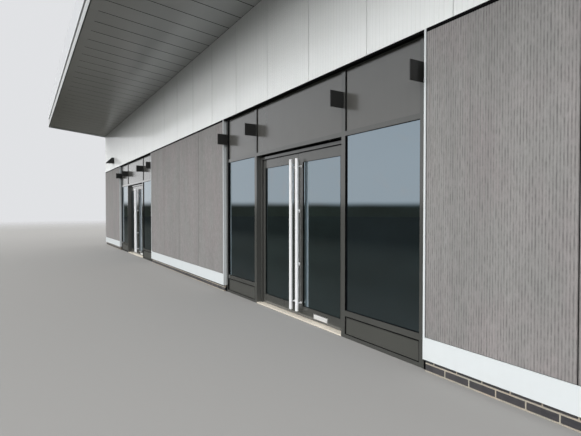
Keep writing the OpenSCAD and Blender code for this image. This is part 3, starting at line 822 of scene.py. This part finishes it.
# How far the gaskets stay behind the face of the frames
SHY = 0.0012
GASKET = 0.0075
SPANDREL_GASKET = 0.009
SIDE_LINING, FOOT_LINING = 0.0015, 0.002
LOW_GASKET, LOW_FOOT, LOW_HEAD = 0.006, 0.005, 0.011
POST_SHADE_STRIP = 0.032
HEAD_GAP, HEAD_GAP_T = 0.025, 0.003
DOOR_HEAD_SHADE = 0.005
SHOE_W, SHOE_OUT = 0.03, 0.006
for shop in (-1, 1):
    centre = shop * SHOP_X
    door = centre + DOOR_SHIFT
    bays = [(centre - POST_IN, door - MULLION_OUT), (door + MULLION_OUT, centre + POST_IN)]
    front_y = FRAME_Y + SHY
    for x0, x1 in bays:
        window = (x0, x1, WINDOW_LOW, WINDOW_TOP)
        gasket_ring(gaskets, *window, front_y, GLASS_Y, SIDE_LINING, FOOT_LINING)
        gasket_ring(gaskets, *window, GLASS_Y - SKIN, GLASS_Y, GASKET)
        low_panel = (x0, x1, LOW_PANEL_LOW, LOW_PANEL_TOP)
        gasket_ring(gaskets, *low_panel, front_y, LOW_PANEL_Y, LOW_GASKET, LOW_FOOT, LOW_HEAD)
    for x0, x1 in [*bays, (door - MULLION_IN, door + MULLION_IN)]:
        spandrel = (x0, x1, SPANDREL_LOW, SPANDREL_TOP)
        gasket_ring(gaskets, *spandrel, front_y, SPANDREL_Y, SIDE_LINING)
        gasket_ring(gaskets, *spandrel, SPANDREL_Y - SKIN, SPANDREL_Y, SPANDREL_GASKET)
    # Painted shade: a black strip on the post's face beside the trim, standing in for a deep shadowed
    # reveal
    post_edge = centre - POST_IN
    low = (post_edge - POST_SHADE_STRIP, FRAME_Y - SKIN, LOW_PANEL_LOW)
    block(gaskets, low, (post_edge, FRAME_Y, SPANDREL_TOP))
    # Painted shade: a black strip in the recess over the door head
    gap_y = DOOR_FRAME_Y + HEAD_GAP
    low = (door - MULLION_IN, gap_y - HEAD_GAP_T, DOOR_HEAD_TOP)
    block(gaskets, low, (door + MULLION_IN, gap_y, WINDOW_TOP))
    # Painted shade: a black strip in the gap under the door head
    low = (door - CLEAR_HALF, DOOR_FRAME_Y - SKIN, DOOR_HEAD_LOW)
    block(gaskets, low, (door + CLEAR_HALF, DOOR_FRAME_Y, DOOR_HEAD_LOW + DOOR_HEAD_SHADE))
    for side in (-1, 1):
        foot = sorted((centre + side * (SHOP_HALF - SHOE_W), centre + side * OPENING_HALF))
        block(gaskets, (foot[0], FRAME_Y - SHOE_OUT, 0), (foot[1], FRAME_Y, STRIP_LOW))
piece("shopfront_gaskets_and_shade", gaskets, RUBBER)

# Seals of the glass, handle roses and locks of each door leaf
HANDLE_INSET = 0.07
HANDLE_LOW, HANDLE_LONG, FIXING_INSET = 0.09, 1.945, 0.1
ROSE_T, ROSE_R = 0.005, 0.016
LOCK_LEVELS = (0.685, 1.366)
LOCK_INSET = 0.026
LOCK_T, LOCK_R = 0.006, 0.021
BARREL_OUT, BARREL_R = 0.016, 0.0125
# Depths of the seals on the two faces of a leaf's glass, behind the face of the leaf
OUTER_SEAL, INNER_SEAL = (0.001, 0.010), (0.0342, 0.044)
LEAF_SEAL, LEAF_SEAL_THIN = 0.006, 0.003


def disc(shape, x, y0, y1, z, radius):
    """Adds a short cylinder that looks along the depth."""
    middle = Matrix.Translation((x, (y0 + y1) / 2 + FACE, z))
    bmesh.ops.create_cone(
        shape, cap_ends=True, segments=24, radius1=radius, radius2=radius, depth=abs(y1 - y0),
        matrix=middle @ Matrix.Rotation(math.radians(90), 4, "X"),
    )


for shop, shop_name in ((-1, "left"), (1, "right")):
    for side, leaf_name in ((-1, "left"), (1, "right")):
        body = f"{shop_name}_shop_{leaf_name}_door"
        tag = f"{shop_name}_shop_{leaf_name}"
        door = shop * SHOP_X + DOOR_SHIFT
        hinge = door + side * (CLEAR_HALF - LEAF_GAP)
        free = hinge - side * LEAF_W
        glass = sorted((hinge - side * HINGE_STILE, free + side * MEETING_STILE))
        ring = bmesh.new()
        for (y0, y1), edge in ((OUTER_SEAL, LEAF_SEAL_THIN), (INNER_SEAL, LEAF_SEAL)):
            opening = (*glass, LEAF_GLASS_LOW, LEAF_GLASS_TOP)
            gasket_ring(ring, *opening, LEAF_Y + y0, LEAF_Y + y1, LEAF_SEAL, edge, edge)
        piece(f"{tag}_glazing_gasket", ring, RUBBER, body)
        fittings = bmesh.new()
        handle_x = free + side * HANDLE_INSET
        for z in (HANDLE_LOW + FIXING_INSET, HANDLE_LOW + HANDLE_LONG - FIXING_INSET):
            disc(fittings, handle_x, LEAF_Y - ROSE_T, LEAF_Y, z, ROSE_R)
        if side > 0:
            lock_x = free + LOCK_INSET
            for z in LOCK_LEVELS:
                disc(fittings, lock_x, LEAF_Y - LOCK_T, LEAF_Y, z, LOCK_R)
                disc(fittings, lock_x, LEAF_Y - BARREL_OUT, LEAF_Y - LOCK_T, z, BARREL_R)
        ease(fittings, 0.0012)
        piece(f"{tag}_fittings", fittings, TUBE, body)

# Pale flap with fine ribs and a dark rim on each letter plate. The rim is partly the plate's edge and
# partly painted shadow, widened to stand in for the plate's shadow.
RIM_OUT, RIM_W, RIM_HEAD = 0.0015, 0.006, 0.004
FLAP_INSET, FLAP_OUT, FLAP_ROWS, FLAP_SHARE = 0.012, 0.003, 9, 0.6
for shop_name in ("left", "right"):
    low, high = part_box(f"{shop_name}_shop_letter_plate")
    body = f"{shop_name}_shop_right_door"
    plate_y = low.y - FACE
    rim = bmesh.new()
    plate = (low.x, high.x, low.z, high.z)
    # The dark rim is partly the plate's edge and partly painted shadow
    gasket_ring(rim, *plate, plate_y - RIM_OUT, plate_y, RIM_W, RIM_W, RIM_HEAD)
    piece(f"{shop_name}_shop_letter_rim", rim, FITTING, body)
    flap = bmesh.new()
    x0, x1 = low.x + FLAP_INSET, high.x - FLAP_INSET
    step = (high.z - low.z - 2 * FLAP_INSET) / FLAP_ROWS
    for n in range(FLAP_ROWS):
        z0 = low.z + FLAP_INSET + n * step
        block(flap, (x0, plate_y - FLAP_OUT, z0), (x1, plate_y, z0 + step * FLAP_SHARE))
    piece(f"{shop_name}_shop_letter_flap", flap, PLATE, body)

# Lens under each wall light
LIGHT_INSET = 1.83
LENS_HALF = 0.1
LENS_Y, LENS_Z = (-0.2, -0.05), (3.0965, 3.1)
lenses = bmesh.new()
for side in (-1, 1):
    x = side * (HALF - LIGHT_INSET)
    block(lenses, (x - LENS_HALF, LENS_Y[0], LENS_Z[0]), (x + LENS_HALF, LENS_Y[1], LENS_Z[1]))
ease(lenses, 0.001)
piece("wall_light_lenses", lenses, LENS)

# Standing seams on the roof
SEAM_PITCH = 0.4
SEAM_W = 0.014
SEAM_H = 0.024
SEAM_FOOT_HALF, SEAM_FOOT_H = SEAM_W * 1.4, 0.004
VERGE_W, SEAM_INSET = 0.11, 0.05
SEAM_FRONT, SEAM_REAR = 0.002, 0.01
seams = bmesh.new()
seam_y0 = EDGE_T - OVERHANG + SEAM_FRONT
seam_y1 = REAR + EAVES - SEAM_REAR
seam_span = HALF - VERGE_W - SEAM_INSET
seam_count = round(2 * seam_span / SEAM_PITCH)
for n in range(seam_count + 1):
    x = -seam_span + n * 2 * seam_span / seam_count
    for half, tall in ((SEAM_W / 2, SEAM_H), (SEAM_FOOT_HALF, SEAM_FOOT_H)):
        block(seams, (x - half, seam_y0, 0), (x + half, seam_y1, tall))
for v in seams.verts:
    v.co.z += deck_top(v.co.y - FACE)
piece("roof_seams", seams, ROOF)

# Studio

BACKGROUND = (0.75, 0.76, 0.78)
BRIGHTER = (0.93, 0.94, 0.95)
HIGHER = (0.46, 0.52, 0.60)
SKY_LEVEL = 2.03
BELOW = (0.032, 0.034, 0.026)
scene = bpy.context.scene
scene.view_settings.view_transform = "Standard"

world = bpy.data.worlds.new("studio")
scene.world = world
world.use_nodes = True
sky = Finish("studio", world.node_tree)
camera_ray, glossy_ray, clear_ray = sky.rays()
seen = (camera_ray + glossy_ray + clear_ray).ramp(0.0, 1.0)
east, back, up = sky.split(sky.node("ShaderNodeTexCoord"))
rise = up.ramp(0.045, 0.31)
above = up.ramp(0.006, 0.022)
less_overhead = 1 - up.ramp(0.62, 0.85) * 0.93
more_in_front = 0.70 - back * 0.30
light_level = (up + 1.6) * less_overhead * more_in_front * SKY_LEVEL
light_level = light_level * rise + (1 - rise) * 0.1
backdrop = world.node_tree.nodes["Background"]
shown = sky.mix(glossy_ray * (0 - east).ramp(0.91, 0.985), BACKGROUND, BRIGHTER)
shown = sky.mix(glossy_ray * up.ramp(0.05, 0.7), shown, HIGHER)
shown = sky.mix(glossy_ray * (1 - above), shown, BELOW)
sky.feed(backdrop.inputs["Color"], sky.mix(seen, (1.0, 1.0, 1.0), shown))
sky.feed(backdrop.inputs["Strength"], seen + (1 - seen) * light_level)

FLOOR_R, FLOOR_DROP = 90, 0.002
floor_shape = bmesh.new()
bmesh.ops.create_circle(floor_shape, cap_ends=True, segments=96, radius=FLOOR_R)
bmesh.ops.translate(floor_shape, verts=floor_shape.verts, vec=(0, 0, -FLOOR_DROP))
floor_mesh = bpy.data.meshes.new("studio_floor")
floor_shape.to_mesh(floor_mesh)
floor_shape.free()
studio_floor = bpy.data.objects.new("studio_floor", floor_mesh)
scene.collection.objects.link(studio_floor)
ground = Finish("studio_floor")
x, y, _ = ground.axes()
reach = (x * x + y * y) ** 0.5
camera_ray, glossy_ray, clear_ray = ground.rays()
looked_at = (camera_ray + clear_ray).ramp(0.0, 1.0)
near_floor, mid_floor, far_floor = (0.073, 0.074, 0.068), (0.043, 0.045, 0.040), (0.014, 0.015, 0.014)
mirrored_floor = ground.mix((FACE - y).ramp(0.0, 2.9), near_floor, mid_floor)
mirrored_floor = ground.mix((FACE - y).ramp(3.0, 11.0), mirrored_floor, far_floor)
unseen = ground.mix(glossy_ray, (0.104, 0.104, 0.100), mirrored_floor)
shade = ground.mix(looked_at, unseen, (0.31, 0.306, 0.298))
ground.set(Base_Color=shade, Roughness=0.95)
ground.surface.inputs["Specular IOR Level"].default_value = 0.0
clear = ground.node("ShaderNodeBsdfTransparent")
FADE_START, FADE_STOP = 22, 60
fade = reach.ramp(FADE_START, FADE_STOP) * (1 - glossy_ray)
paint = Value(ground, ground.surface.outputs[0])
away = ground.node("ShaderNodeMixShader", None, {0: fade, 1: paint, 2: clear})
ground.tree.links.new(away.socket, ground.tree.nodes["Material Output"].inputs["Surface"])
floor_mesh.materials.append(ground.material)


def sun(name, strength, angle, azimuth, elevation):
    """A broad distant lamp. Azimuth 0 shines along +Y, 90 along -X."""
    data = bpy.data.lights.new(name, "SUN")
    data.energy, data.angle = strength, math.radians(angle)
    lamp = bpy.data.objects.new(name, data)
    scene.collection.objects.link(lamp)
    lamp.rotation_euler = (math.radians(90 - elevation), 0, math.radians(azimuth))
    lamp.visible_glossy = False


sun("key_lamp", 0.1, 60, -20, 40)

CAMERA_LENS_PX = 438.6
PHOTO_WIDTH = 581
EYE_X, EYE_OUT, EYE_HEIGHT = 9.3437, 2.914, 1.3779
LOOK_DOWN, LOOK_LEFT = 1.021, 58.4625
camera_data = bpy.data.cameras.new("camera")
camera = bpy.data.objects.new("camera", camera_data)
scene.collection.objects.link(camera)
scene.camera = camera
camera.location = (EYE_X, FACE - EYE_OUT, EYE_HEIGHT)
camera.rotation_euler = (math.radians(90 - LOOK_DOWN), 0, math.radians(LOOK_LEFT))
camera_data.sensor_width = 36
camera_data.lens = CAMERA_LENS_PX / PHOTO_WIDTH * camera_data.sensor_width
camera_data.clip_start, camera_data.clip_end = 0.05, 300
